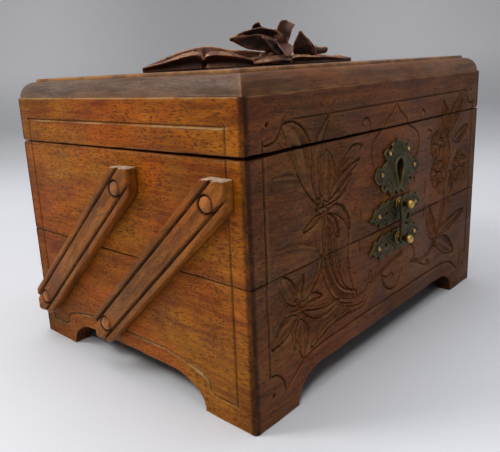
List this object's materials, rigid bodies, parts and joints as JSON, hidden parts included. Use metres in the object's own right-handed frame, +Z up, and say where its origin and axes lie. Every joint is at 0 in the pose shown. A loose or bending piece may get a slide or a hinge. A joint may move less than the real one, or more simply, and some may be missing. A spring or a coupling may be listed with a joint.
{
  "type": "keepsake box",
  "caption": "Carved walnut keepsake box on bracket feet, with a hinged lid, a lined tray that swings back on wooden side arms, and a brass lock and hook latch.",
  "frame": {"origin": "middle of the ground covered by the box, its front studs and its side pins, at the underside of the feet", "axes": "+Z up, front of the box towards -Y, +X to the right seen from the front"},
  "size_m": [0.2094, 0.1528, 0.1512],
  "materials": {
    "walnut_side": "oiled figured walnut, warm and speckled, light wear on edges",
    "walnut_front": "oiled walnut, darker and redder, carved with flowers and a border line",
    "walnut_moulding": "walnut moulding, greyed, with a soft polished sheen",
    "walnut_panel": "walnut lid panel, oiled",
    "walnut_arm": "walnut arms with end grain showing pale at the cuts",
    "walnut_carving": "carved walnut spray, dark polished hollows and lighter crests",
    "pin_wood": "orange-brown hardwood pins with domed heads",
    "floor_wood": "plain thin softwood board",
    "lining_cloth": "deep red velvet, padded",
    "aged_brass": "greenish-brown aged brass plates",
    "bright_brass": "brass studs and tacks rubbed bright by fingers",
    "lock_steel": "dull steel lock parts and screws"
  },
  "bodies": {
    "base": {"base_front": "walnut_front", "base_back": "walnut_side", "base_left": "walnut_side", "base_right": "walnut_side", "base_floor": "floor_wood", "base_pad": "lining_cloth", "base_lining": "lining_cloth", "base_arm_pins": "pin_wood", "base_latch_plate": "aged_brass", "base_latch_stud": "bright_brass", "base_latch_tacks": "bright_brass"},
    "tray": {"tray_front": "walnut_front", "tray_back": "walnut_side", "tray_left": "walnut_side", "tray_right": "walnut_side", "tray_floor": "floor_wood", "tray_pad": "lining_cloth", "tray_lining": "lining_cloth", "tray_arm_pins": "pin_wood", "tray_latch_plate": "aged_brass", "tray_latch_stud": "bright_brass", "tray_latch_tacks": "bright_brass", "escutcheon": "aged_brass", "escutcheon_tacks": "bright_brass", "lock_case": "lock_steel", "lock_screws": "lock_steel", "tray_hinge_leaf_left": "aged_brass", "tray_hinge_leaf_right": "aged_brass", "hinge_pin_left": "aged_brass", "hinge_pin_right": "aged_brass", "tray_hinge_screws": "lock_steel"},
    "lid": {"lid_front": "walnut_front", "lid_back": "walnut_side", "lid_left": "walnut_side", "lid_right": "walnut_side", "moulding_front": "walnut_moulding", "moulding_back": "walnut_moulding", "moulding_left": "walnut_moulding", "moulding_right": "walnut_moulding", "lid_top_panel": "walnut_panel", "lid_pad": "lining_cloth", "lid_lining": "lining_cloth", "lid_hinge_leaf_left": "aged_brass", "lid_hinge_leaf_right": "aged_brass", "lid_hinge_screws": "lock_steel", "lid_catch": "aged_brass", "catch_screws": "lock_steel", "carved_leaves": "walnut_carving", "carved_flower": "walnut_carving", "carved_bud": "walnut_carving"},
    "latch_hook": {"latch_hook": "aged_brass"},
    "lock_bolt": {"lock_bolt": "lock_steel"},
    "arm_left_front": {"arm_left_front": "walnut_arm"},
    "arm_left_rear": {"arm_left_rear": "walnut_arm"},
    "arm_right_front": {"arm_right_front": "walnut_arm"},
    "arm_right_rear": {"arm_right_rear": "walnut_arm"}
  },
  "joints": [
    {"name": "tray_swing", "type": "hinge", "parent": "base", "child": "arm_left_front", "pos_m": [-0.10115, 0.0129, 0.0235], "axis": [-1, 0, 0], "range_deg": [0, 94.3]},
    {"name": "arm_left_rear_turn", "type": "hinge", "parent": "base", "child": "arm_left_rear", "pos_m": [-0.10115, 0.0634, 0.0235], "axis": [-1, 0, 0], "range_deg": [0, 94.3]},
    {"name": "arm_right_front_turn", "type": "hinge", "parent": "base", "child": "arm_right_front", "pos_m": [0.10115, 0.0129, 0.0235], "axis": [-1, 0, 0], "range_deg": [0, 94.3]},
    {"name": "arm_right_rear_turn", "type": "hinge", "parent": "base", "child": "arm_right_rear", "pos_m": [0.10115, 0.0634, 0.0235], "axis": [-1, 0, 0], "range_deg": [0, 94.3]},
    {"name": "tray_carry", "type": "hinge", "parent": "arm_left_front", "child": "tray", "pos_m": [-0.10115, -0.0541, 0.0856], "axis": [-1, 0, 0], "range_deg": [-94.3, 0]},
    {"name": "lid_hinge", "type": "hinge", "parent": "tray", "child": "lid", "pos_m": [0, 0.0739, 0.1], "axis": [-1, 0, 0], "range_deg": [0, 99.5]},
    {"name": "hook_turn", "type": "hinge", "parent": "base", "child": "latch_hook", "pos_m": [0.0035, -0.0716, 0.0495], "axis": [0, -1, 0], "range_deg": [0, 85]},
    {"name": "bolt_slide", "type": "slide", "parent": "tray", "child": "lock_bolt", "axis": [-1, 0, 0], "range_m": [0, 0.005]}
  ],
  "couplings": [
    {"joint": "arm_left_rear_turn", "follows": "tray_swing", "ratio": 1},
    {"joint": "arm_right_front_turn", "follows": "tray_swing", "ratio": 1},
    {"joint": "arm_right_rear_turn", "follows": "tray_swing", "ratio": 1},
    {"joint": "tray_carry", "follows": "tray_swing", "ratio": -1}
  ]
}
